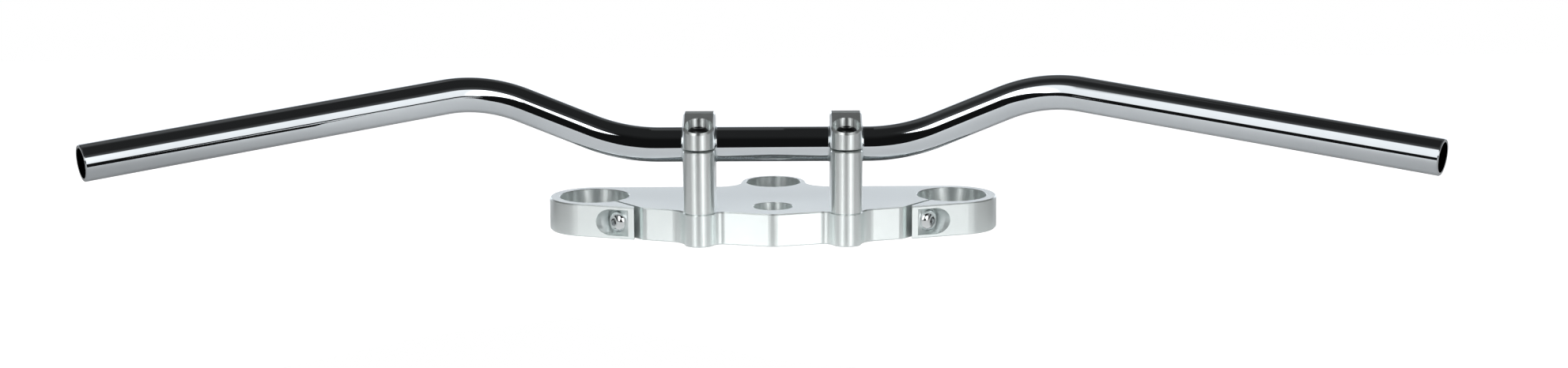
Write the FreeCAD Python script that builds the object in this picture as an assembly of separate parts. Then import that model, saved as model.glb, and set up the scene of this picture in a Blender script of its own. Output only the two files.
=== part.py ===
"""Motorcycle handlebar on two riser clamps and a milled top yoke: one solid per piece, millimetres."""
import math
import os

import FreeCAD
import Part

V = FreeCAD.Vector

# Frame: +X to the right of the bike, +Y forward, +Z up, origin on the stem axis at the yoke underside

# Handlebar tube, its centre line given by the corners between straight runs
TUBE_D = 22.2
TUBE_WALL = 2.0
TUBE_END_BREAK = 0.5
BAR_SHIFT = -5.7
BAR_INNER_CORNER_X = 88.5
BAR_OUTER_CORNER_X = 176.0
BAR_END_X = 396.0
BAR_RISE = 35.5
BAR_END_RISE = 13.0
BAR_PULLBACK = 126.0
INNER_BEND_R = 117.0
OUTER_BEND_R = 73.0

# Top yoke plate
YOKE_T = 21.0
YOKE_EDGE_BREAK = 0.8
HOLE_EDGE_BREAK = 0.4
STEM_BORE_D = 25.0
FORK_BORE_D = 45.0
FORK_SPACING = 232.0
FORK_Y = 36.0
FORK_WALL = 6.5
LOCK_BORE_D = 36.0
LOCK_Y = 81.0
LOCK_WALL = 3.5
LOCK_NECK_R = 15.0
FRONT_VERTEX_Y = -26.3
FRONT_FACE_TILT = 15.0
FRONT_VERTEX_R = 12.0
EAR_FACE_TILT = 18.0
BODY_SETBACK = 1.2
BOSS_INNER_NECK_R = 6.0
BOSS_OUTER_NECK_R = 11.0

# Fork clamp slot, its bolt and the pocket for the bolt head
PINCH_TILT = 38.0
SLOT_W = 2.2
SLOT_OFFSET = 1.0
SPOTFACE_FROM_BORE_AXIS = 4.7
PINCH_FROM_BORE_AXIS = 35.0
POCKET_D = 17.0
EAR_END_FROM_FORK_X = 27.7
MOUTH_INNER_FROM_FORK_X = 36.2
MOUTH_FACE_TILT = 25.0
MOUTH_SHOULDER_R = 8.0
PINCH_BOLT_LENGTH = 25.0

# Riser posts and clamp caps, rounded at both ends around the clamp bolts
POST_SPACING = 92.5
POST_W = 20.0
POST_NOSE_Y = -27.5
CLAMP_BOLT_OFFSET = 19.0
BAR_ABOVE_YOKE = 40.0
SPLIT_GAP = 1.5
SEAT_CLEARANCE = 0.05
POST_EDGE_BREAK = 0.5
SEAT_EDGE_BREAK = 0.5
CAP_TOP_ABOVE_BAR = 20.5
CAP_FLAT_HALF = 4.6
CAP_SLANT = 20.6
CAP_EDGE_BREAK = 1.0
COUNTERBORE_D = 17.5
COUNTERBORE_FLOOR_ABOVE_BAR = 9.6
CLAMP_BOLT_LENGTH = 65.0

# M8 screws with domed button heads
M8_D = 8.0
M8_TIP_BREAK = 0.8
HEAD_D = 14.0
HEAD_H = 4.4
HEAD_RIM_H = 0.7
HEAD_TOP_D = 7.6
HEAD_DOME_BULGE = 0.75
SOCKET_AF = 5.0
SOCKET_DEPTH = 2.6
THROUGH_HOLE_CLEARANCE = 0.4
THREAD_CLEARANCE = 0.03

# Positions that follow from the sizes above
BAR_Y = POST_NOSE_Y + POST_W / 2 + CLAMP_BOLT_OFFSET
BAR_Z = YOKE_T + BAR_ABOVE_YOKE
FORK_X = FORK_SPACING / 2
POST_X = POST_SPACING / 2
RING_R = FORK_BORE_D / 2 + FORK_WALL
REAR_EDGE_Y = FORK_Y + RING_R
LOBE_R = LOCK_BORE_D / 2 + LOCK_WALL
SEAT_R = TUBE_D / 2 + SEAT_CLEARANCE
THROUGH_R = M8_D / 2 + THROUGH_HOLE_CLEARANCE
THREAD_R = M8_D / 2 + THREAD_CLEARANCE
FRONT_BOLT_Y = BAR_Y - CLAMP_BOLT_OFFSET
REAR_BOLT_Y = BAR_Y + CLAMP_BOLT_OFFSET
POCKET_Z = YOKE_T / 2
EAR_END_X = FORK_X - EAR_END_FROM_FORK_X
MOUTH_INNER_X = FORK_X - MOUTH_INNER_FROM_FORK_X
SLOT_RUN = (FORK_Y - POST_NOSE_Y) / math.cos(math.radians(PINCH_TILT))
POCKET_RUN = RING_R
EPS = 1.0


def disc(x, y, r):
    """A flat round face in the ground plane."""
    return Part.Face(Part.Wire(Part.makeCircle(r, V(x, y, 0))))


def polygon(points):
    """A flat face in the ground plane from its corners."""
    corners = [V(x, y, 0) for x, y in points]
    return Part.Face(Part.makePolygon(corners + corners[:1]))


def joined(faces):
    """One outline face from faces that overlap."""
    return faces[0].multiFuse(faces[1:]).removeSplitter().Faces[0]


def rod(r, x, y, z0, z1):
    """An upright cylinder between two heights."""
    return Part.makeCylinder(r, z1 - z0, V(x, y, z0))


def mirrored(shape):
    """The same shape on the other side of the bike."""
    return shape.mirror(V(0, 0, 0), V(1, 0, 0))


def on_side(shape, side):
    """A shape drawn for the left side, put on the side asked for."""
    return shape if side < 0 else mirrored(shape)


def upright_edges(shape, wanted):
    """The straight upright edges whose place in plan passes a test."""
    found = []
    for edge in shape.Edges:
        low, high = edge.Vertexes[0].Point, edge.Vertexes[-1].Point
        upright = abs(low.x - high.x) < 1e-6 and abs(low.y - high.y) < 1e-6 and abs(low.z - high.z) > 1
        if upright and wanted(low.x, low.y):
            found.append(edge)
    return found


def level_edges(shape, z):
    """The edges that lie at one height."""
    return [e for e in shape.Edges if abs(e.BoundBox.ZMin - z) < 1e-6 and abs(e.BoundBox.ZMax - z) < 1e-6]


def ring_face(point, direction):
    """The tube's wall cut square across its centre line."""
    outer = Part.Wire(Part.makeCircle(TUBE_D / 2, point, direction))
    inner = Part.Wire(Part.makeCircle(TUBE_D / 2 - TUBE_WALL, point, direction))
    return Part.makeFace([outer, inner], "Part::FaceMakerBullseye")


def bar_corners():
    """The corners of the bar's centre line from the left end to the right end."""
    half = [
        V(BAR_INNER_CORNER_X, 0, 0),
        V(BAR_OUTER_CORNER_X, 0, BAR_RISE),
        V(BAR_END_X, -BAR_PULLBACK, BAR_END_RISE),
    ]
    middle = V(BAR_SHIFT, BAR_Y, BAR_Z)
    left = [middle + V(-p.x, p.y, p.z) for p in reversed(half)]
    right = [middle + p for p in half]
    return left + right


def bent_tube(corners, radii):
    """A tube along straight runs with a round bend at each inner corner."""
    pieces = []
    start = corners[0]
    for before, corner, after, radius in zip(corners, corners[1:], corners[2:], radii):
        way_in = (corner - before).normalize()
        way_out = (after - corner).normalize()
        turn = way_in.getAngle(way_out)
        setback = radius * math.tan(turn / 2)
        bend_start = corner - way_in * setback
        axis = way_in.cross(way_out).normalize()
        centre = bend_start + axis.cross(way_in) * radius
        pieces.append(ring_face(start, way_in).extrude(bend_start - start))
        pieces.append(ring_face(bend_start, way_in).revolve(centre, axis, math.degrees(turn)))
        start = corner + way_out * setback
    last = (corners[-1] - start).normalize()
    pieces.append(ring_face(start, last).extrude(corners[-1] - start))
    return pieces[0].multiFuse(pieces[1:]).removeSplitter()


def make_handlebar():
    """The bent tube with its outer end edges broken."""
    corners = bar_corners()
    tube = bent_tube(corners, [OUTER_BEND_R, INNER_BEND_R, INNER_BEND_R, OUTER_BEND_R])
    rims = []
    for edge in tube.Edges:
        if isinstance(edge.Curve, Part.Circle) and abs(edge.Curve.Radius - TUBE_D / 2) < 1e-6:
            if min((edge.Curve.Center - c).Length for c in (corners[0], corners[-1])) < 1e-3:
                rims.append(edge)
    return tube.makeChamfer(TUBE_END_BREAK, rims)


def ear_face_y(x):
    """Front face of the left fork clamp in plan, tangent to the clamp ring."""
    tilt = math.radians(EAR_FACE_TILT)
    touch_x = -FORK_X - RING_R * math.sin(tilt)
    touch_y = FORK_Y - RING_R * math.cos(tilt)
    return touch_y - (x - touch_x) * math.tan(tilt)


def body_face_y(x):
    """Front face of the yoke between slot and boss, parallel to the clamp face and set back."""
    return ear_face_y(x) + BODY_SETBACK / math.cos(math.radians(EAR_FACE_TILT))


def vertex_face_y(x):
    """Front face of the yoke between the bosses, falling back to both sides of the middle."""
    return FRONT_VERTEX_Y + abs(x) * math.tan(math.radians(FRONT_FACE_TILT))


def outer_neck(side):
    """The round neck in plan between a body face and its boss, tangent to both."""
    tilt = math.radians(EAR_FACE_TILT)
    outward = V(side * math.sin(tilt), -math.cos(tilt), 0)
    along = V(-side * math.cos(tilt), -math.sin(tilt), 0)
    boss = V(side * POST_X, FRONT_BOLT_Y, 0)
    proud = (boss - V(side * POST_X, body_face_y(-POST_X), 0)).dot(outward)
    root = boss - outward * (proud + POST_W / 2)
    rise = BOSS_OUTER_NECK_R - proud
    reach = math.sqrt((BOSS_OUTER_NECK_R + POST_W / 2) ** 2 - rise ** 2)
    centre = boss - along * reach + outward * rise
    touch = centre - outward * BOSS_OUTER_NECK_R
    corners = [(p.x, p.y) for p in (touch, root, boss, centre)]
    web = polygon(corners[::side])
    return web.cut(disc(centre.x, centre.y, BOSS_OUTER_NECK_R)).Faces[0]


def yoke_blank():
    """The plate with its lobe, rings and bosses, edges broken, before any hole."""
    tilt = math.radians(EAR_FACE_TILT)
    touch_x = -FORK_X - RING_R * math.sin(tilt)
    left_front = [
        (-FORK_X, REAR_EDGE_Y),
        (touch_x, ear_face_y(touch_x)),
        (-EAR_END_X, ear_face_y(-EAR_END_X)),
        (-EAR_END_X + SLOT_W, body_face_y(-EAR_END_X + SLOT_W)),
        (-POST_X, body_face_y(-POST_X)),
        (-POST_X, vertex_face_y(POST_X)),
    ]
    right_front = [(-x, y) for x, y in reversed(left_front)]
    faces = [polygon(left_front + [(0, FRONT_VERTEX_Y)] + right_front), disc(0, LOCK_Y, LOBE_R)]
    for side in (-1, 1):
        faces.append(disc(side * FORK_X, FORK_Y, RING_R))
        faces.append(disc(side * POST_X, FRONT_BOLT_Y, POST_W / 2))
        faces.append(outer_neck(side))
        edge = side * POST_X
        faces.append(polygon([
            (edge - POST_W / 2, FRONT_BOLT_Y),
            (edge + POST_W / 2, FRONT_BOLT_Y),
            (edge + POST_W / 2, 0),
            (edge - POST_W / 2, 0),
        ]))
    blank = joined(faces).extrude(V(0, 0, YOKE_T))
    lobe_neck = upright_edges(blank, lambda x, y: abs(x) < LOBE_R and REAR_EDGE_Y - EPS < y < LOCK_Y - EPS)
    blank = blank.makeFillet(LOCK_NECK_R, lobe_neck)
    vertex = upright_edges(blank, lambda x, y: abs(x) < EPS and y < 0)
    blank = blank.makeFillet(FRONT_VERTEX_R, vertex)
    flank_x = POST_X - POST_W / 2
    inner_neck = upright_edges(blank, lambda x, y: abs(abs(x) - flank_x) < EPS and y < 0)
    blank = blank.makeFillet(BOSS_INNER_NECK_R, inner_neck)
    rims = level_edges(blank, 0) + level_edges(blank, YOKE_T)
    return blank.makeChamfer(YOKE_EDGE_BREAK, rims)


def pinch_frame():
    """Across the left slot toward the body, along the slot toward the rider, and the bolt's seat point."""
    tilt = math.radians(PINCH_TILT)
    across = V(math.cos(tilt), math.sin(tilt), 0)
    along = V(math.sin(tilt), -math.cos(tilt), 0)
    bore = V(-FORK_X, FORK_Y, 0)
    seat = bore - across * SPOTFACE_FROM_BORE_AXIS + along * PINCH_FROM_BORE_AXIS + V(0, 0, POCKET_Z)
    return across, along, seat


def slab(corner, first, second, height):
    """A block on two level edge vectors from one corner, raised by a height."""
    base = Part.makePolygon([corner, corner + first, corner + first + second, corner + second, corner])
    return Part.Face(base).extrude(V(0, 0, height))


def slot_mouth(across, along):
    """The left slot opened out toward the rider, its body side rounded into a narrow face."""
    tilt = math.radians(MOUTH_FACE_TILT)
    facing = V(math.sin(tilt), math.cos(tilt), 0)
    end = V(-MOUTH_INNER_X, body_face_y(-MOUTH_INNER_X), -EPS)
    side = V(-FORK_X, FORK_Y, -EPS) + across * (SLOT_OFFSET + SLOT_W / 2)
    shoulder = side + along * ((end - side).dot(facing) / along.dot(facing))
    start = side + along * ((-EAR_END_X - side.x) / along.x)
    corners = [(p.x, p.y) for p in (start, shoulder, end)]
    front_y = body_face_y(-POST_X)
    mouth = polygon(corners + [(end.x, front_y), (start.x, front_y)]).extrude(V(0, 0, YOKE_T + 2 * EPS))
    mouth.translate(V(0, 0, -EPS))
    edge = upright_edges(mouth, lambda x, y: math.hypot(x - shoulder.x, y - shoulder.y) < EPS)
    return mouth.makeFillet(MOUTH_SHOULDER_R, edge)


def clamp_cutters():
    """Everything milled out of the left fork clamp: slot, slot mouth, head pocket and bolt hole."""
    across, along, seat = pinch_frame()
    bore = V(-FORK_X, FORK_Y, -EPS)
    slot_corner = bore + across * (SLOT_OFFSET - SLOT_W / 2)
    slot = slab(slot_corner, across * SLOT_W, along * SLOT_RUN, YOKE_T + 2 * EPS)
    mouth = slot_mouth(across, along)
    pocket = Part.makeCylinder(POCKET_D / 2, POCKET_RUN, seat, across * -1)
    pocket_floor = seat - V(0, 0, POCKET_D / 2)
    pocket_open = slab(pocket_floor, across * -POCKET_RUN, along * POCKET_RUN, POCKET_D)
    wall = SPOTFACE_FROM_BORE_AXIS + SLOT_OFFSET
    through = Part.makeCylinder(THROUGH_R, wall, seat, across)
    thread = Part.makeCylinder(THREAD_R, PINCH_BOLT_LENGTH + EPS, seat, across)
    return [slot, mouth, pocket, pocket_open, through, thread]


def bored(r, x, y):
    """An upright hole through the yoke with broken edges."""
    low = Part.makeCone(r + HOLE_EDGE_BREAK, r, HOLE_EDGE_BREAK, V(x, y, 0))
    high = Part.makeCone(r, r + HOLE_EDGE_BREAK, HOLE_EDGE_BREAK, V(x, y, YOKE_T - HOLE_EDGE_BREAK))
    return rod(r, x, y, -EPS, YOKE_T + EPS).multiFuse([low, high])


def make_yoke():
    """The fork bridge with its bores, split clamps and threaded bolt holes."""
    cutters = [bored(STEM_BORE_D / 2, 0, 0), bored(LOCK_BORE_D / 2, 0, LOCK_Y)]
    for side in (-1, 1):
        cutters.append(bored(FORK_BORE_D / 2, side * FORK_X, FORK_Y))
        for y in (FRONT_BOLT_Y, REAR_BOLT_Y):
            cutters.append(rod(THREAD_R, side * POST_X, y, -EPS, YOKE_T + EPS))
        cutters.extend(on_side(c, side) for c in clamp_cutters())
    yoke = yoke_blank()
    for cutter in cutters:
        yoke = yoke.cut(cutter)
    return yoke.removeSplitter()


def riser_plan(side):
    """The rounded plan shared by post and cap."""
    x = side * POST_X
    flanks = polygon([
        (x - POST_W / 2, FRONT_BOLT_Y),
        (x + POST_W / 2, FRONT_BOLT_Y),
        (x + POST_W / 2, REAR_BOLT_Y),
        (x - POST_W / 2, REAR_BOLT_Y),
    ])
    return joined([flanks, disc(x, FRONT_BOLT_Y, POST_W / 2), disc(x, REAR_BOLT_Y, POST_W / 2)])


def seat_cutter(side):
    """The bar seat through a riser, its mouths broken on both flanks."""
    x = side * POST_X
    half = POST_W / 2
    sideways = V(1, 0, 0)
    start = V(x - half, BAR_Y, BAR_Z)
    bore = Part.makeCylinder(SEAT_R, POST_W, start, sideways)
    near = Part.makeCone(SEAT_R + SEAT_EDGE_BREAK, SEAT_R, SEAT_EDGE_BREAK, start, sideways)
    end = V(x + half - SEAT_EDGE_BREAK, BAR_Y, BAR_Z)
    far = Part.makeCone(SEAT_R, SEAT_R + SEAT_EDGE_BREAK, SEAT_EDGE_BREAK, end, sideways)
    return bore.multiFuse([near, far])


def make_post(side):
    """A riser post: bar seat on top, two bolt holes right through."""
    height = BAR_ABOVE_YOKE - SPLIT_GAP / 2
    post = riser_plan(side).extrude(V(0, 0, height))
    post.translate(V(0, 0, YOKE_T))
    post = post.makeChamfer(POST_EDGE_BREAK, level_edges(post, YOKE_T) + level_edges(post, YOKE_T + height))
    post = post.cut(seat_cutter(side))
    for y in (FRONT_BOLT_Y, REAR_BOLT_Y):
        post = post.cut(rod(THROUGH_R, side * POST_X, y, YOKE_T - EPS, BAR_Z))
    return post


def slant_cutter(side, way):
    """The wedge taken off the front or the rear of a cap top."""
    x = side * POST_X
    top = BAR_Z + CAP_TOP_ABOVE_BAR
    reach = CLAMP_BOLT_OFFSET + POST_W
    drop = (reach - CAP_FLAT_HALF) * math.tan(math.radians(CAP_SLANT))
    corners = [
        V(x - POST_W, BAR_Y + way * CAP_FLAT_HALF, top),
        V(x - POST_W, BAR_Y + way * reach, top - drop),
        V(x - POST_W, BAR_Y + way * reach, top + EPS),
        V(x - POST_W, BAR_Y + way * CAP_FLAT_HALF, top + EPS),
    ]
    return Part.Face(Part.makePolygon(corners + corners[:1])).extrude(V(2 * POST_W, 0, 0))


def make_cap(side):
    """A clamp cap: bar seat below, slanted ends with counterbores for the bolt heads."""
    low = BAR_Z + SPLIT_GAP / 2
    high = BAR_Z + CAP_TOP_ABOVE_BAR
    cap = riser_plan(side).extrude(V(0, 0, high - low))
    cap.translate(V(0, 0, low))
    for way in (-1, 1):
        cap = cap.cut(slant_cutter(side, way))
    cap = cap.removeSplitter()
    upper = [f for f in cap.Faces if f.normalAt(0, 0).z > 0.5]
    top_edges = [e for f in upper for e in f.Edges]
    outer = [e for e in top_edges if sum(e.isSame(other) for other in top_edges) == 1]
    cap = cap.makeChamfer(CAP_EDGE_BREAK, outer)
    cap = cap.makeChamfer(POST_EDGE_BREAK, level_edges(cap, low))
    cap = cap.cut(seat_cutter(side))
    floor = BAR_Z + COUNTERBORE_FLOOR_ABOVE_BAR
    for y in (FRONT_BOLT_Y, REAR_BOLT_Y):
        cap = cap.cut(rod(THROUGH_R, side * POST_X, y, low - EPS, floor + EPS))
        cap = cap.cut(rod(COUNTERBORE_D / 2, side * POST_X, y, floor, high + EPS))
    return cap


def socket_cutter():
    """A hexagonal socket sunk from the top of a screw head."""
    r = SOCKET_AF / 2 / math.cos(math.pi / 6)
    low = HEAD_H - SOCKET_DEPTH
    corners = [V(r * math.cos(k * math.pi / 3), r * math.sin(k * math.pi / 3), low) for k in range(6)]
    return Part.Face(Part.makePolygon(corners + corners[:1])).extrude(V(0, 0, SOCKET_DEPTH + EPS))


def shank(length):
    """The plain shank of an M8 screw hanging below the origin, its tip broken."""
    stem = Part.makeCylinder(M8_D / 2, length - M8_TIP_BREAK, V(0, 0, M8_TIP_BREAK - length))
    tip = Part.makeCone(M8_D / 2 - M8_TIP_BREAK, M8_D / 2, M8_TIP_BREAK, V(0, 0, -length))
    return stem.fuse(tip)


def button_head():
    """A domed head on the origin, turned from its half section."""
    rim = V(HEAD_D / 2, 0, HEAD_RIM_H)
    top = V(HEAD_TOP_D / 2, 0, HEAD_H)
    chord = top - rim
    bulge = V(chord.z, 0, -chord.x).normalize() * HEAD_DOME_BULGE
    dome = Part.Arc(rim, rim + chord * 0.5 + bulge, top).toShape()
    foot = V(HEAD_D / 2, 0, 0)
    crown = V(0, 0, HEAD_H)
    edges = [
        Part.makeLine(V(0, 0, 0), foot),
        Part.makeLine(foot, rim),
        dome,
        Part.makeLine(top, crown),
        Part.makeLine(crown, V(0, 0, 0)),
    ]
    return Part.Face(Part.Wire(edges)).revolve(V(0, 0, 0), V(0, 0, 1), 360)


def button_screw(length):
    """A button screw of a given length, its head standing on the origin."""
    screw = button_head().fuse(shank(length)).removeSplitter()
    return screw.cut(socket_cutter())


def make_clamp_bolt(side, y):
    """A long button screw through cap and post into the yoke."""
    bolt = button_screw(CLAMP_BOLT_LENGTH)
    bolt.translate(V(side * POST_X, y, BAR_Z + COUNTERBORE_FLOOR_ABOVE_BAR))
    return bolt


def make_pinch_bolt(side):
    """The button screw across a fork clamp slot."""
    across, _, seat = pinch_frame()
    bolt = button_screw(PINCH_BOLT_LENGTH)
    bolt.Placement = FreeCAD.Placement(seat, FreeCAD.Rotation(V(0, 0, 1), across * -1))
    return on_side(bolt, side)


def all_pieces():
    """Every piece of the assembly by name."""
    pieces = {"handlebar": make_handlebar(), "top_yoke": make_yoke()}
    for name, side in (("left", -1), ("right", 1)):
        pieces["riser_post_" + name] = make_post(side)
        pieces["clamp_cap_" + name] = make_cap(side)
        pieces["clamp_bolt_" + name + "_front"] = make_clamp_bolt(side, FRONT_BOLT_Y)
        pieces["clamp_bolt_" + name + "_rear"] = make_clamp_bolt(side, REAR_BOLT_Y)
        pieces["pinch_bolt_" + name] = make_pinch_bolt(side)
    return pieces


os.makedirs("parts", exist_ok=True)
for node, shape in all_pieces().items():
    shape.exportStep("parts/" + node + ".step")
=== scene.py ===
"""Looks of the motorcycle handlebar: a chromed bar held by two riser clamps on a milled top yoke.

Lengths are metres in the CAD frame: +X to the right of the bike, +Y forward, +Z up, with the
origin on the stem axis at the yoke underside. The rider's side, -Y, faces the camera.
"""
import logging
import math
from dataclasses import dataclass, field
from enum import Enum

import bmesh
import bpy
from mathutils import Matrix, Vector


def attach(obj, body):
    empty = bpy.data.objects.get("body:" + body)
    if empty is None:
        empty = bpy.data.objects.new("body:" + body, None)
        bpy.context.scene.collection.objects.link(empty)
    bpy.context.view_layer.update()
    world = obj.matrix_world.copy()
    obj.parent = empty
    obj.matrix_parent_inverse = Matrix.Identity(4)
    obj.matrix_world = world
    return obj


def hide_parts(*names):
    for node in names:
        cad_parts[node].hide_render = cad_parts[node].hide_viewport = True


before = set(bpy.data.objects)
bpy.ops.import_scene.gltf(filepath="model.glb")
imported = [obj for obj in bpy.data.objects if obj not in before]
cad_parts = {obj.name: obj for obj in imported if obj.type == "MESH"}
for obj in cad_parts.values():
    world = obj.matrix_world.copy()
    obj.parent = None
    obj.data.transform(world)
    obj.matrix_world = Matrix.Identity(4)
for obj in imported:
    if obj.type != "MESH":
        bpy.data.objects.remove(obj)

log = logging.getLogger("handlebar")

Colour = tuple[float, float, float]
Place = tuple[float, float, float]
Span = tuple[float, float]
Feed = bpy.types.NodeSocket | float | tuple[float, ...]

WHITE: Colour = (1.0, 1.0, 1.0)


class Grain(Enum):
    """How a surface was worked, which sets the run of its fine lines."""

    DRAWN = "drawn along the tube"
    MILLED = "milled level around the walls"


class Side(Enum):
    """The two sides of the bike, with the sign of their X."""

    LEFT = -1
    RIGHT = 1

    @property
    def word(self) -> str:
        """The side as it stands in node names."""
        return self.name.lower()


class Wiring:
    """Places nodes in one tree and links them."""

    def __init__(self, tree: bpy.types.NodeTree) -> None:
        self.tree = tree

    def add(self, kind: str, **settings: object) -> bpy.types.Node:
        """Places a node.

        Args:
            kind: Blender's name of the node type.
            settings: attributes to set on the new node.

        Returns:
            The new node.
        """
        node = self.tree.nodes.new(kind)
        for name, value in settings.items():
            setattr(node, name, value)
        return node

    def feed(self, socket: bpy.types.NodeSocket, value: Feed) -> None:
        """Links a socket to another one, or sets it to a plain value.

        Args:
            socket: the input to fill.
            value: an output to link, or a number or colour.
        """
        if isinstance(value, bpy.types.NodeSocket):
            self.tree.links.new(value, socket)
        else:
            socket.default_value = value

    def math(self, operation: str, first: Feed, second: Feed = 0.0) -> bpy.types.NodeSocket:
        """Joins one or two values by a sum.

        Args:
            operation: the math node's operation.
            first: the first value.
            second: the second value, where the operation takes one.

        Returns:
            The result's socket.
        """
        node = self.add("ShaderNodeMath", operation=operation)
        self.feed(node.inputs[0], first)
        self.feed(node.inputs[1], second)
        return node.outputs[0]

    def product(self, *values: Feed) -> bpy.types.NodeSocket:
        """Multiplies several values.

        Args:
            values: the factors, the first of them a socket.

        Returns:
            The product's socket.
        """
        total = values[0]
        for value in values[1:]:
            total = self.math("MULTIPLY", total, value)
        return total

    def fade(self, value: Feed, start: float, end: float) -> bpy.types.NodeSocket:
        """Runs softly from 0 to 1 while a value goes from one bound to the other.

        Args:
            value: the value that is followed.
            start: where the fade is 0.
            end: where the fade is 1.

        Returns:
            The fade's socket.
        """
        node = self.add("ShaderNodeMapRange", interpolation_type="SMOOTHSTEP")
        self.feed(node.inputs["Value"], value)
        self.feed(node.inputs["From Min"], start)
        self.feed(node.inputs["From Max"], end)
        return node.outputs["Result"]

    def between(self, share: Feed, low: Feed, high: Feed) -> bpy.types.NodeSocket:
        """Goes straight from one number to another.

        Args:
            share: 0 for the first number, 1 for the second.
            low: the first number.
            high: the second number.

        Returns:
            The blended number's socket.
        """
        node = self.add("ShaderNodeMix", data_type="FLOAT")
        self.feed(node.inputs[0], share)
        self.feed(node.inputs[2], low)
        self.feed(node.inputs[3], high)
        return node.outputs[0]

    def tint(self, share: Feed, low: Feed, high: Feed) -> bpy.types.NodeSocket:
        """Blends two colours.

        Args:
            share: 0 for the first colour, 1 for the second.
            low: the first colour.
            high: the second colour.

        Returns:
            The blended colour's socket.
        """
        node = self.add("ShaderNodeMix", data_type="RGBA")
        self.feed(node.inputs[0], share)
        for socket, colour in ((node.inputs[6], low), (node.inputs[7], high)):
            self.feed(socket, (*colour, 1.0) if isinstance(colour, tuple) else colour)
        return node.outputs[2]

    def noise(self, place: Feed, scale: Feed, detail: float = 2.0) -> bpy.types.NodeSocket:
        """Adds an uneven pattern.

        Args:
            place: the coordinates it is read at.
            scale: patches to the metre.
            detail: how many finer patterns ride on it.

        Returns:
            The pattern's value socket, around 0.5.
        """
        node = self.add("ShaderNodeTexNoise")
        self.feed(node.inputs["Vector"], place)
        self.feed(node.inputs["Scale"], scale)
        self.feed(node.inputs["Detail"], detail)
        return node.outputs["Fac"]

    def stretched(self, place: Feed, scale: Place) -> bpy.types.NodeSocket:
        """Stretches coordinates before a pattern is read.

        Args:
            place: the coordinates.
            scale: the factor on each axis.

        Returns:
            The stretched coordinates' socket.
        """
        node = self.add("ShaderNodeMapping")
        self.feed(node.inputs["Vector"], place)
        self.feed(node.inputs["Scale"], scale)
        return node.outputs[0]


class Effects:
    """Surface effects that several finishes share, each drawn once as a node group."""

    BROAD_PATCHES = 18.0
    CLOSE_PATCHES = 140.0
    CLOSE_SHARE = 0.35
    HAZE_SPAN: Span = (0.32, 0.68)
    LONG_LINES: Place = (14.0, 14.0, 2600.0)
    SHORT_LINES: Place = (70.0, 70.0, 5200.0)
    SHORT_SHARE = 0.4

    def __init__(self) -> None:
        self._made: dict[str, bpy.types.NodeTree] = {}
        self.finished: dict[str, bpy.types.Material] = {}

    def _group(self, name: str, inputs: dict[str, str], outputs: tuple[str, ...]) -> tuple[Wiring, dict, dict]:
        """Starts a node group with its sockets.

        Args:
            name: the group's name.
            inputs: socket type by input name.
            outputs: names of the value outputs.

        Returns:
            The wiring, the input sockets by name and the output sockets by name.
        """
        tree = bpy.data.node_groups.new(name, "ShaderNodeTree")
        for label, kind in inputs.items():
            tree.interface.new_socket(label, in_out="INPUT", socket_type=kind)
        for label in outputs:
            tree.interface.new_socket(label, in_out="OUTPUT", socket_type="NodeSocketFloat")
        wiring = Wiring(tree)
        entry = wiring.add("NodeGroupInput")
        leave = wiring.add("NodeGroupOutput")
        self._made[name] = tree
        taken = {label: entry.outputs[label] for label in inputs}
        given = {label: leave.inputs[label] for label in outputs}
        return wiring, taken, given

    def handling(self) -> bpy.types.NodeTree:
        """The soft unevenness of a surface that has been wiped and handled.

        Returns:
            The group, with a Vector input and a Haze output.
        """
        if "handling" not in self._made:
            wiring, taken, given = self._group("handling", {"Vector": "NodeSocketVector"}, ("Haze",))
            broad = wiring.noise(taken["Vector"], self.BROAD_PATCHES, detail=3.0)
            close = wiring.noise(taken["Vector"], self.CLOSE_PATCHES)
            blend = wiring.between(self.CLOSE_SHARE, broad, close)
            wiring.feed(given["Haze"], wiring.fade(blend, *self.HAZE_SPAN))
        return self._made["handling"]

    def lines(self) -> bpy.types.NodeTree:
        """Fine parallel lines, long in X and Y and close together in Z.

        Returns:
            The group, with a Vector input and a Lines output.
        """
        if "lines" not in self._made:
            wiring, taken, given = self._group("lines", {"Vector": "NodeSocketVector"}, ("Lines",))
            long_lines = wiring.noise(wiring.stretched(taken["Vector"], self.LONG_LINES), 1.0)
            short_lines = wiring.noise(wiring.stretched(taken["Vector"], self.SHORT_LINES), 1.0, detail=1.0)
            wiring.feed(given["Lines"], wiring.between(self.SHORT_SHARE, long_lines, short_lines))
        return self._made["lines"]


UNROLL_R = 0.011
LINE_SHARE = 0.3
LEVEL_SPAN: Span = (0.8, 0.92)
STRETCH_WAY: Place = (0.0, 0.02, 1.0)


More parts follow.
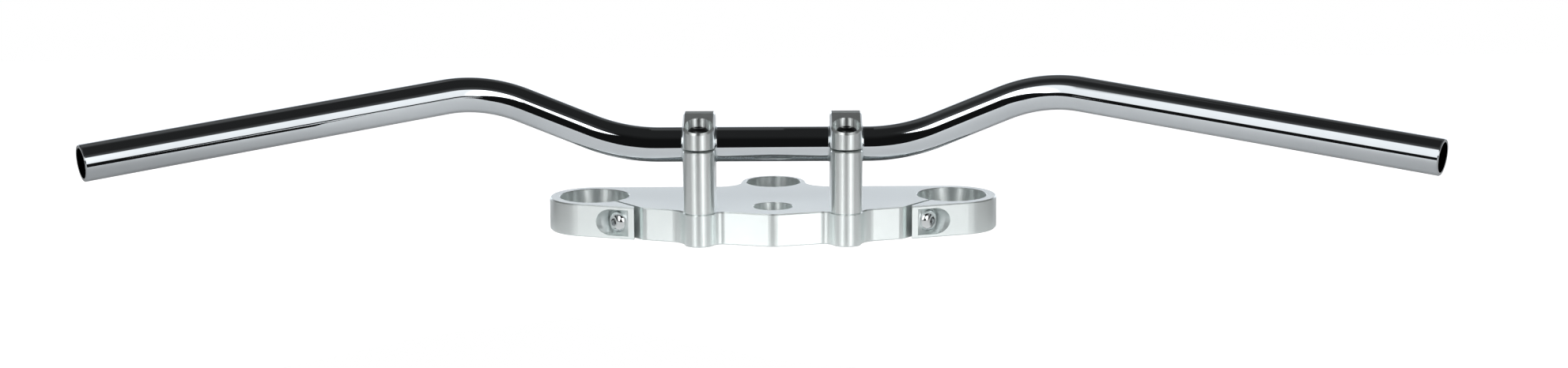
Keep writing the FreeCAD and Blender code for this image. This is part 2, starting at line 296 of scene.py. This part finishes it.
@dataclass(frozen=True)
class Finish:
    """A metal finish: its colours, its polish and the lines left by working it.

    Stretch draws reflections out upright on walls and along Y on level faces. Level polish is a
    factor on the roughness of level faces.
    """

    name: str
    grain: Grain
    dull: Colour
    bright: Colour
    smooth: float
    rough: float
    line_depth: float
    stretch: float = 0.0
    level_polish: float = 1.0
    metal: float = 1.0

    def _place(self, wiring: Wiring) -> bpy.types.NodeSocket:
        """The coordinates the finish reads.

        Args:
            wiring: the material's tree.

        Returns:
            The tube's own straightened coordinates for drawn metal, else Object coordinates.
        """
        if self.grain is Grain.DRAWN:
            return wiring.add("ShaderNodeAttribute", attribute_name="straight").outputs["Vector"]
        return wiring.add("ShaderNodeTexCoord").outputs["Object"]

    def _grain_place(self, wiring: Wiring, place: bpy.types.NodeSocket) -> bpy.types.NodeSocket:
        """The coordinates of the fine lines.

        Args:
            wiring: the material's tree.
            place: the finish's coordinates.

        Returns:
            Coordinates turned so that the lines run the way the metal was worked.
        """
        if self.grain is Grain.MILLED:
            return place
        split = wiring.add("ShaderNodeSeparateXYZ")
        wiring.feed(split.inputs[0], place)
        turned = wiring.add("ShaderNodeCombineXYZ")
        around = wiring.math("ARCTAN2", split.outputs["Z"], split.outputs["Y"])
        wiring.feed(turned.inputs["X"], split.outputs["X"])
        wiring.feed(turned.inputs["Z"], wiring.math("MULTIPLY", around, UNROLL_R))
        return turned.outputs[0]

    def _roughness(self, wiring: Wiring, wear: bpy.types.NodeSocket) -> bpy.types.NodeSocket:
        """The polish over the surface.

        Args:
            wiring: the material's tree.
            wear: the unevenness, 0 where smooth and 1 where rough.

        Returns:
            The roughness, changed on level faces where the finish says so.
        """
        rough = wiring.between(wear, self.smooth, self.rough)
        if self.level_polish == 1.0:
            return rough
        facing = wiring.add("ShaderNodeSeparateXYZ")
        wiring.feed(facing.inputs[0], wiring.add("ShaderNodeNewGeometry").outputs["Normal"])
        level = wiring.fade(wiring.math("ABSOLUTE", facing.outputs["Z"]), *LEVEL_SPAN)
        return wiring.product(rough, wiring.between(level, 1.0, self.level_polish))

    def _draw_out(self, wiring: Wiring, skin: bpy.types.Node) -> None:
        """Stretches the reflections across the worked lines.

        Args:
            wiring: the material's tree.
            skin: the material's shader.
        """
        wiring.feed(skin.inputs["Anisotropic"], self.stretch)
        run = wiring.add("ShaderNodeCombineXYZ")
        for socket, value in zip(run.inputs, STRETCH_WAY):
            wiring.feed(socket, value)
        wiring.feed(skin.inputs["Tangent"], run.outputs[0])

    def material(self, effects: Effects) -> bpy.types.Material:
        """Draws the finish.

        Args:
            effects: the shared effects.

        Returns:
            The material, made on the first call.
        """
        if self.name in effects.finished:
            return effects.finished[self.name]
        made = bpy.data.materials.new(self.name)
        effects.finished[self.name] = made
        made.use_nodes = True
        made.node_tree.nodes.clear()
        wiring = Wiring(made.node_tree)
        place = self._place(wiring)
        haze = wiring.add("ShaderNodeGroup", node_tree=effects.handling())
        wiring.feed(haze.inputs["Vector"], place)
        lines = wiring.add("ShaderNodeGroup", node_tree=effects.lines())
        wiring.feed(lines.inputs["Vector"], self._grain_place(wiring, place))
        wear = wiring.between(LINE_SHARE, haze.outputs["Haze"], lines.outputs["Lines"])
        bump = wiring.add("ShaderNodeBump")
        wiring.feed(bump.inputs["Strength"], 1.0)
        wiring.feed(bump.inputs["Distance"], self.line_depth)
        wiring.feed(bump.inputs["Height"], lines.outputs["Lines"])
        skin = wiring.add("ShaderNodeBsdfPrincipled")
        wiring.feed(skin.inputs["Base Color"], wiring.tint(wear, self.dull, self.bright))
        wiring.feed(skin.inputs["Roughness"], self._roughness(wiring, wear))
        wiring.feed(skin.inputs["Metallic"], self.metal)
        wiring.feed(skin.inputs["Normal"], bump.outputs[0])
        if self.stretch:
            self._draw_out(wiring, skin)
        leave = wiring.add("ShaderNodeOutputMaterial")
        wiring.feed(leave.inputs["Surface"], skin.outputs[0])
        return made


CHROME = Finish("bright_chrome", Grain.DRAWN, dull=(0.65, 0.69, 0.72), bright=(0.69, 0.73, 0.76),
                smooth=0.015, rough=0.03, line_depth=2e-7)
YOKE_METAL = Finish("milled_aluminium", Grain.MILLED, dull=(0.83, 0.885, 0.88), bright=(0.87, 0.92, 0.915),
                    smooth=0.28, rough=0.305, line_depth=4e-8, stretch=1.0, level_polish=0.5, metal=0.85)
RISER_METAL = Finish("turned_aluminium", Grain.MILLED, dull=(0.83, 0.875, 0.87), bright=(0.87, 0.91, 0.905),
                     smooth=0.28, rough=0.3, line_depth=4e-8, stretch=1.0, metal=0.88)
CAP_METAL = Finish("satin_aluminium", Grain.MILLED, dull=(0.8, 0.84, 0.835), bright=(0.84, 0.88, 0.875),
                   smooth=0.28, rough=0.3, line_depth=4e-8, stretch=1.0, level_polish=1.2, metal=0.93)
DARK_STEEL = Finish("blackened_steel", Grain.MILLED, dull=(0.05, 0.055, 0.055), bright=(0.085, 0.09, 0.09),
                    smooth=0.28, rough=0.38, line_depth=2e-6)
BRIGHT_STEEL = Finish("zinc_plated_steel", Grain.MILLED, dull=(0.72, 0.74, 0.75), bright=(0.78, 0.8, 0.81),
                      smooth=0.12, rough=0.18, line_depth=1e-6)


@dataclass
class BarSizes:
    """Sizes of the bent tube."""

    tube_d: float = 0.0222
    wall: float = 0.002
    end_break: float = 0.0005
    shift: float = -0.0057
    middle_y: float = 0.0015
    middle_z: float = 0.061
    inner_corner_x: float = 0.0885
    outer_corner_x: float = 0.176
    end_x: float = 0.396
    rise: float = 0.0355
    end_rise: float = 0.013
    pullback: float = 0.126
    inner_bend_r: float = 0.117
    outer_bend_r: float = 0.073
    around: int = 144
    bend_step: float = 0.012
    clamp_x: float = 0.04625
    clamp_half: float = 0.01
    bead_gap: float = 0.0006
    bead_half: float = 0.00055
    bead_height: float = 0.00028
    bead_steps: int = 8


class Handlebar:
    """The chromed tube, drawn round enough for a mirror finish."""

    FIRST_BEND_PAST_MIDDLE = 2
    FEWEST_BEND_STEPS = 4
    SHARP_DEGREES = 32.0
    MERGE = 1e-7
    TOUCH = 2e-5

    def __init__(self, sizes: BarSizes, finish: Finish) -> None:
        self.sizes = sizes
        self.finish = finish

    def corners(self) -> list[Vector]:
        """The corners of the centre line.

        Returns:
            The points from the left end to the right end.
        """
        s = self.sizes
        half = [
            Vector((s.inner_corner_x, 0.0, 0.0)),
            Vector((s.outer_corner_x, 0.0, s.rise)),
            Vector((s.end_x, -s.pullback, s.end_rise)),
        ]
        middle = Vector((s.shift, s.middle_y, s.middle_z))
        left = [middle + Vector((-p.x, p.y, p.z)) for p in reversed(half)]
        return left + [middle + p for p in half]

    def _start_ring(self, bm: bmesh.types.BMesh, at: Vector, way: Vector) -> list[bmesh.types.BMFace]:
        """Draws the cut end of the tube.

        Args:
            bm: the mesh being drawn.
            at: the centre of the end.
            way: the direction the tube leaves in.

        Returns:
            The faces of the ring.
        """
        s = self.sizes
        straight = bm.verts.layers.float_vector.new("straight")
        turn = Matrix.Translation(at) @ way.to_track_quat("Z", "Y").to_matrix().to_4x4()
        rims = []
        for radius in (s.tube_d / 2, s.tube_d / 2 - s.wall):
            rim = bmesh.ops.create_circle(bm, segments=s.around, radius=radius, matrix=turn)["verts"]
            for vert in rim:
                flat = turn.inverted() @ vert.co
                vert[straight] = Vector((0.0, flat.x, flat.y))
            rims.extend({edge for vert in rim for edge in vert.link_edges})
        return bmesh.ops.bridge_loops(bm, edges=rims)["faces"]

    def _grow(self, bm: bmesh.types.BMesh, faces: list[bmesh.types.BMFace], move: Matrix,
              length: float) -> tuple[list[bmesh.types.BMFace], list[bmesh.types.BMVert]]:
        """Extrudes the open end of the tube by one step.

        Args:
            bm: the mesh being drawn.
            faces: the end ring.
            move: the step's motion.
            length: the step's length along the centre line.

        Returns:
            The faces and the points of the new end ring.
        """
        straight = bm.verts.layers.float_vector["straight"]
        grown = bmesh.ops.extrude_face_region(bm, geom=faces)["geom"]
        verts = [g for g in grown if isinstance(g, bmesh.types.BMVert)]
        bmesh.ops.transform(bm, matrix=move, verts=verts)
        for vert in verts:
            vert[straight] = vert[straight] + Vector((length, 0.0, 0.0))
        return [g for g in grown if isinstance(g, bmesh.types.BMFace)], verts

    def _bend(self, bm: bmesh.types.BMesh, faces: list[bmesh.types.BMFace], centre: Vector, axis: Vector,
              turn: float, radius: float) -> list[bmesh.types.BMFace]:
        """Turns the end of the tube around a bend.

        Args:
            bm: the mesh being drawn.
            faces: the end ring.
            centre: the centre of the bend.
            axis: the axis of the bend.
            turn: the angle of the bend.
            radius: the radius of the centre line.

        Returns:
            The faces of the new end ring.
        """
        steps = max(self.FEWEST_BEND_STEPS, round(turn / self.sizes.bend_step))
        step = Matrix.Rotation(turn / steps, 4, axis)
        move = Matrix.Translation(centre) @ step @ Matrix.Translation(-centre)
        for _ in range(steps):
            faces, _ = self._grow(bm, faces, move, radius * turn / steps)
        return faces

    def _beads(self) -> list[tuple[float, float]]:
        """The raised beads that end the clamping bands beside both caps.

        Returns:
            Places in X with the height of the bead there, from left to right.
        """
        s = self.sizes
        profile = []
        for clamp in (-s.clamp_x, s.clamp_x):
            for flank in (-1, 1):
                middle = clamp + flank * (s.clamp_half + s.bead_gap)
                for k in range(s.bead_steps + 1):
                    share = 2.0 * k / s.bead_steps - 1.0
                    height = s.bead_height * math.sqrt(max(0.0, 1.0 - share * share))
                    profile.append((middle + share * s.bead_half, height))
        return profile

    def _middle(self, bm: bmesh.types.BMesh, faces: list[bmesh.types.BMFace], start: Vector,
                end: Vector) -> list[bmesh.types.BMFace]:
        """Draws the straight middle with its beads.

        Args:
            bm: the mesh being drawn.
            faces: the end ring.
            start: where the middle starts.
            end: where the middle ends.

        Returns:
            The faces of the new end ring.
        """
        s = self.sizes
        straight = bm.verts.layers.float_vector["straight"]
        at, height = start.x, 0.0
        for place, raised in self._beads() + [(end.x, 0.0)]:
            step = place - at
            faces, verts = self._grow(bm, faces, Matrix.Translation((step, 0.0, 0.0)), step)
            outer = [v for v in verts if v[straight].yz.length > s.tube_d / 2 - s.wall / 2]
            swell = (s.tube_d / 2 + raised) / (s.tube_d / 2 + height)
            about = Matrix.Translation((-place, -start.y, -start.z))
            bmesh.ops.scale(bm, vec=(1.0, swell, swell), space=about, verts=outer)
            at, height = place, raised
        return faces

    def build(self) -> bpy.types.Object:
        """Draws the tube along its centre line.

        Returns:
            The finished piece.
        """
        s = self.sizes
        corners = self.corners()
        radii = [s.outer_bend_r, s.inner_bend_r, s.inner_bend_r, s.outer_bend_r]
        bm = bmesh.new()
        faces = self._start_ring(bm, corners[0], (corners[1] - corners[0]).normalized())
        start = corners[0]
        for number, radius in enumerate(radii):
            before, corner, after = corners[number:number + 3]
            way_in = (corner - before).normalized()
            way_out = (after - corner).normalized()
            turn = way_in.angle(way_out)
            setback = radius * math.tan(turn / 2)
            bend_start = corner - way_in * setback
            axis = way_in.cross(way_out).normalized()
            if number == self.FIRST_BEND_PAST_MIDDLE:
                faces = self._middle(bm, faces, start, bend_start)
            else:
                run = bend_start - start
                faces, _ = self._grow(bm, faces, Matrix.Translation(run), run.length)
            centre = bend_start + axis.cross(way_in) * radius
            faces = self._bend(bm, faces, centre, axis, turn, radius)
            start = corner + way_out * setback
        run = corners[-1] - start
        self._grow(bm, faces, Matrix.Translation(run), run.length)
        self._break_ends(bm, corners)
        bmesh.ops.remove_doubles(bm, verts=bm.verts, dist=self.MERGE)
        bmesh.ops.recalc_face_normals(bm, faces=bm.faces)
        mesh = bpy.data.meshes.new("bar_tube")
        bm.to_mesh(mesh)
        bm.free()
        mesh.shade_smooth()
        mesh.set_sharp_from_angle(angle=math.radians(self.SHARP_DEGREES))
        piece = bpy.data.objects.new("bar_tube", mesh)
        bpy.context.scene.collection.objects.link(piece)
        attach(piece, "root")
        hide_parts("handlebar")
        return piece

    def _break_ends(self, bm: bmesh.types.BMesh, corners: list[Vector]) -> None:
        """Breaks the outer edge of both tube ends.

        Args:
            bm: the drawn tube.
            corners: the corners of the centre line.
        """
        s = self.sizes
        for end, other in ((corners[0], corners[1]), (corners[-1], corners[-2])):
            way = (other - end).normalized()
            rim = []
            for edge in bm.edges:
                arms = [vert.co - end for vert in edge.verts]
                level = all(abs(arm.dot(way)) < self.TOUCH for arm in arms)
                if level and all(abs(arm.length - s.tube_d / 2) < self.TOUCH for arm in arms):
                    rim.append(edge)
            bmesh.ops.bevel(bm, geom=rim, offset=s.end_break, offset_type="OFFSET", segments=1, profile=0.5,
                            affect="EDGES", material=-1)

    def dress(self, piece: bpy.types.Object, effects: Effects) -> None:
        """Gives the tube its chrome."""
        piece.data.materials.append(self.finish.material(effects))


@dataclass
class Dressing:
    """The finishes of the CAD nodes of one sub-assembly."""

    nodes: dict[str, Finish] = field(default_factory=dict)

    def dress(self, effects: Effects) -> None:
        """Gives each node its finish.

        Args:
            effects: the shared effects.
        """
        for name, finish in self.nodes.items():
            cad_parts[name].material_slots[0].material = finish.material(effects)
            log.info("%s takes %s", name, finish.name)


class TopYoke(Dressing):
    """The milled yoke with the screws of its fork clamps."""

    def __init__(self) -> None:
        super().__init__({"top_yoke": YOKE_METAL})
        for side in Side:
            self.nodes["pinch_bolt_" + side.word] = BRIGHT_STEEL


class Riser(Dressing):
    """One post with its cap and the two screws through them."""

    def __init__(self, side: Side) -> None:
        super().__init__({"riser_post_" + side.word: RISER_METAL, "clamp_cap_" + side.word: CAP_METAL})
        for end in ("front", "rear"):
            self.nodes["clamp_bolt_%s_%s" % (side.word, end)] = DARK_STEEL


@dataclass(frozen=True)
class Softbox:
    """A softbox beside the camera, in degrees seen from the part; its lower edge slants down outward."""

    side: Side
    inner: Span
    high: Span
    low_inside: float
    low_slant: float
    low_most: float
    low_least: float
    low_blur: float = 3.0
    core: Span = (43.0, 33.0)
    core_level: float = 2.45
    outer: Span = (60.0, 52.0)
    edge_level: float = 1.15
    halo_level: float = 0.09
    halo_reach: float = 24.0
    halo_sides: Span = (10.0, 28.0)

    def glow(self, wiring: Wiring, turn: bpy.types.NodeSocket, height: bpy.types.NodeSocket) -> bpy.types.NodeSocket:
        """Draws the softbox into the world.

        Args:
            wiring: the world's tree.
            turn: degrees to the right of the camera.
            height: degrees above the horizon.

        Returns:
            The softbox's light level.
        """
        aside = wiring.product(turn, float(self.side.value))
        core = wiring.product(wiring.fade(aside, *self.core), self.core_level)
        edge = wiring.product(wiring.fade(aside, *self.outer), self.edge_level)
        slant = wiring.math("SUBTRACT", self.low_inside, wiring.product(aside, self.low_slant))
        low = wiring.math("MAXIMUM", wiring.math("MINIMUM", slant, self.low_most), self.low_least)
        above = wiring.fade(wiring.math("SUBTRACT", height, low), -self.low_blur / 2, self.low_blur / 2)
        panel = wiring.product(wiring.math("ADD", core, edge), wiring.fade(aside, *self.inner), above,
                               wiring.fade(height, *self.high))
        top = self.high[1]
        halo = wiring.product(wiring.fade(height, top + self.halo_reach, top), wiring.fade(aside, *self.halo_sides),
                              wiring.fade(height, 0.0, top), self.halo_level)
        return wiring.math("ADD", panel, halo)


@dataclass(frozen=True)
class Backdrop:
    """The pale wall behind the part, as angles seen from it."""

    level: float = 1.4
    sides: Span = (115.0, 155.0)
    high: Span = (31.0, 0.0)
    colour: Colour = (0.96, 1.0, 1.06)


@dataclass(frozen=True)
class Gloom:
    """The dark of the room, a little paler towards the ceiling."""

    level: float = 0.008
    ceiling_level: float = 0.014
    ceiling: Span = (35.0, 65.0)


@dataclass(frozen=True)
class Table:
    """The white table under the part; its front edge is given from left to right."""

    front: tuple[Span, ...] = ((-1.6, -0.6), (-0.45, -0.55), (-0.25, -0.3), (-0.19, -0.24), (-0.11, -0.2),
                               (0.0, -0.29), (0.1, -0.33), (0.17, -0.7), (1.6, -0.7))
    back: float = 0.8
    half_width: float = 1.6
    white: float = 0.93
    paint: float = 0.8
    shadow_share: float = 0.5
    # painted shade: for rays other than the camera's the table's paint darkens towards both sides past these X
    # bounds, standing in for the light falling off there
    left_painted_shade: float = 0.6
    right_painted_shade: float = 0.75
    sides: Span = (0.12, 0.36)
    below_part: float = 0.0002
    patches: float = 3.0
    unevenness: Span = (0.98, 1.02)


@dataclass(frozen=True)
class Overhead:
    """The broad light above the table, which mirrors do not show."""

    place: Place = (-0.08, -0.55, 0.75)
    width: float = 1.3
    depth: float = 0.4
    power: float = 7.0


@dataclass(frozen=True)
class Lens:
    """The camera of the photograph."""

    focal: float = 56.293
    sensor: float = 36.0
    place: Place = (0.00708, -1.5261, 0.337)
    pitch: float = 11.182
    roll: float = 0.25


class Studio:
    """The plain studio: white table, soft light and camera."""

    def __init__(self) -> None:
        self.softboxes = (
            Softbox(Side.LEFT, inner=(13.0, 16.0), high=(54.0, 49.0), low_inside=52.0, low_slant=1.5,
                    low_most=38.0, low_least=5.0),
            Softbox(Side.RIGHT, inner=(8.0, 11.0), high=(40.0, 36.0), low_inside=36.0, low_slant=1.1,
                    low_most=22.0, low_least=1.0),
        )
        self.backdrop = Backdrop()
        self.gloom = Gloom()
        self.table = Table()
        self.overhead = Overhead()
        self.lens = Lens()

    def build_world(self) -> None:
        """Draws the light around the part, white where the camera looks past it."""
        world = bpy.data.worlds.new("studio")
        bpy.context.scene.world = world
        world.use_nodes = True
        world.node_tree.nodes.clear()
        wiring = Wiring(world.node_tree)
        split = wiring.add("ShaderNodeSeparateXYZ")
        wiring.feed(split.inputs[0], wiring.add("ShaderNodeTexCoord").outputs["Generated"])
        height = wiring.math("DEGREES", wiring.math("ARCSINE", split.outputs["Z"]))
        toward = wiring.math("MULTIPLY", split.outputs["Y"], -1.0)
        turn = wiring.math("DEGREES", wiring.math("ARCTAN2", split.outputs["X"], toward))
        left, right = [box.glow(wiring, turn, height) for box in self.softboxes]
        boxes = wiring.math("ADD", left, right)
        aside = wiring.math("ABSOLUTE", turn)
        wall = wiring.product(wiring.fade(aside, *self.backdrop.sides), wiring.fade(height, *self.backdrop.high),
                              self.backdrop.level)
        above = wiring.product(wiring.fade(height, *self.gloom.ceiling), self.gloom.ceiling_level)
        dim = wiring.math("ADD", above, self.gloom.level)
        lit = wiring.math("ADD", wiring.math("ADD", boxes, wall), dim)
        wall_share = wiring.math("DIVIDE", wall, lit)
        eye = wiring.add("ShaderNodeLightPath").outputs["Is Camera Ray"]
        light = wiring.add("ShaderNodeBackground")
        wiring.feed(light.inputs["Color"], wiring.tint(wall_share, WHITE, self.backdrop.colour))
        wiring.feed(light.inputs["Strength"], lit)
        paper = wiring.add("ShaderNodeBackground")
        blend = wiring.add("ShaderNodeMixShader")
        wiring.feed(paper.inputs["Color"], (*WHITE, 1.0))
        wiring.feed(blend.inputs[0], eye)
        wiring.feed(blend.inputs[1], light.outputs[0])
        wiring.feed(blend.inputs[2], paper.outputs[0])
        leave = wiring.add("ShaderNodeOutputWorld")
        wiring.feed(leave.inputs["Surface"], blend.outputs[0])

    def build_table(self) -> None:
        """Lays the table under the part: white to the camera, with a faint shadow."""
        t = self.table
        bm = bmesh.new()
        corners = [*t.front, (t.half_width, t.back), (-t.half_width, t.back)]
        bm.faces.new([bm.verts.new((x, y, 0.0)) for x, y in corners])
        mesh = bpy.data.meshes.new("table_top")
        bm.to_mesh(mesh)
        bm.free()
        piece = bpy.data.objects.new("table_top", mesh)
        bpy.context.scene.collection.objects.link(piece)
        piece.location.z = -t.below_part
        mesh.materials.append(self._table_paint())

    def _table_paint(self) -> bpy.types.Material:
        """The table's surface.

        Returns:
            A white that glows a little and takes a faint shadow; for rays other than the camera's its paint is
            darker towards both sides, a painted shade.
        """
        t = self.table
        paint = bpy.data.materials.new("table_white")
        paint.use_nodes = True
        paint.node_tree.nodes.clear()
        wiring = Wiring(paint.node_tree)
        eye = wiring.add("ShaderNodeLightPath").outputs["Is Camera Ray"]
        place = wiring.add("ShaderNodeTexCoord").outputs["Object"]
        grain = wiring.noise(place, t.patches)
        split = wiring.add("ShaderNodeSeparateXYZ")
        wiring.feed(split.inputs[0], place)
        # painted shade: the paint darkens towards both sides for rays other than the camera's, so mirrors show the
        # table dimmer there, as if less light fell on it
        right = wiring.fade(split.outputs["X"], *t.sides)
        left = wiring.fade(split.outputs["X"], *[-bound for bound in t.sides])
        shine = wiring.add("ShaderNodeEmission")
        wiring.feed(shine.inputs["Strength"], wiring.product(eye, t.white))
        matt = wiring.add("ShaderNodeBsdfDiffuse")
        share = wiring.product(wiring.between(left, 1.0, t.left_painted_shade), wiring.between(right, 1.0, t.right_painted_shade))
        paint_with_painted_side_shade = wiring.product(share, t.paint)
        shade = wiring.between(eye, paint_with_painted_side_shade, t.paint * t.shadow_share)
        wiring.feed(matt.inputs["Color"], wiring.product(shade, wiring.between(grain, *t.unevenness)))
        both = wiring.add("ShaderNodeAddShader")
        wiring.feed(both.inputs[0], shine.outputs[0])
        wiring.feed(both.inputs[1], matt.outputs[0])
        leave = wiring.add("ShaderNodeOutputMaterial")
        wiring.feed(leave.inputs["Surface"], both.outputs[0])
        return paint

    def build_overhead(self) -> None:
        """Hangs the broad light that whitens the table and shades it under the part."""
        o = self.overhead
        lamp = bpy.data.lights.new("overhead", "AREA")
        lamp.shape = "RECTANGLE"
        lamp.size, lamp.size_y, lamp.energy = o.width, o.depth, o.power
        piece = bpy.data.objects.new("overhead", lamp)
        piece.location = o.place
        piece.visible_glossy = False
        piece.visible_camera = False
        bpy.context.scene.collection.objects.link(piece)

    def build_camera(self) -> None:
        """Puts the camera where the photograph was taken."""
        data = bpy.data.cameras.new("camera")
        data.sensor_width = self.lens.sensor
        data.lens = self.lens.focal
        camera = bpy.data.objects.new("camera", data)
        bpy.context.scene.collection.objects.link(camera)
        tilt = Matrix.Rotation(math.radians(90.0 - self.lens.pitch), 4, "X")
        roll = Matrix.Rotation(math.radians(-self.lens.roll), 4, "Z")
        camera.matrix_world = Matrix.Translation(self.lens.place) @ tilt @ roll
        bpy.context.scene.camera = camera


def main() -> None:
    """Dresses the part and lights it."""
    logging.basicConfig(level=logging.INFO, format="%(name)s: %(message)s")
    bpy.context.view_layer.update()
    effects = Effects()
    bar = Handlebar(BarSizes(), CHROME)
    bar.dress(bar.build(), effects)
    TopYoke().dress(effects)
    for side in Side:
        Riser(side).dress(effects)
    studio = Studio()
    studio.build_world()
    studio.build_table()
    studio.build_overhead()
    studio.build_camera()
    bpy.context.scene.view_settings.view_transform = "Standard"


if __name__ == "__main__":
    main()
